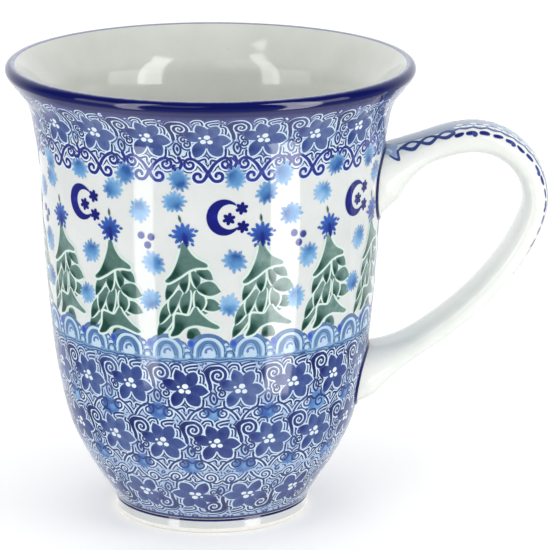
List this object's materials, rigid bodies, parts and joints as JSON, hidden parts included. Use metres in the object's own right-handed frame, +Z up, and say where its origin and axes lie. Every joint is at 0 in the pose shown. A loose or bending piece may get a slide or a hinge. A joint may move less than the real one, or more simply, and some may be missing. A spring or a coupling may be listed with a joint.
{
  "type": "stoneware mug",
  "caption": "Tall stoneware mug with a flared lip, a tapered bowl on a small foot ring and a strap handle luted to the wall at both ends.",
  "frame": {"origin": "centre of the foot's underside, on the cup's axis", "axes": "+Z up along the cup's axis, +X towards the handle, +Y away from a viewer who sees the handle on the right"},
  "size_m": [0.1487, 0.112, 0.127],
  "materials": {
    "cup_glaze": "clear gloss glaze over painted decoration; bare clay on the foot's rim",
    "handle_glaze": "clear gloss glaze over painted decoration",
    "seam_glaze": "cobalt paint under a clear gloss glaze"
  },
  "bodies": {
    "root": {"cup_body": "cup_glaze", "handle": "handle_glaze", "upper_luting_seam": "seam_glaze", "lower_luting_seam": "seam_glaze"}
  },
  "joints": []
}
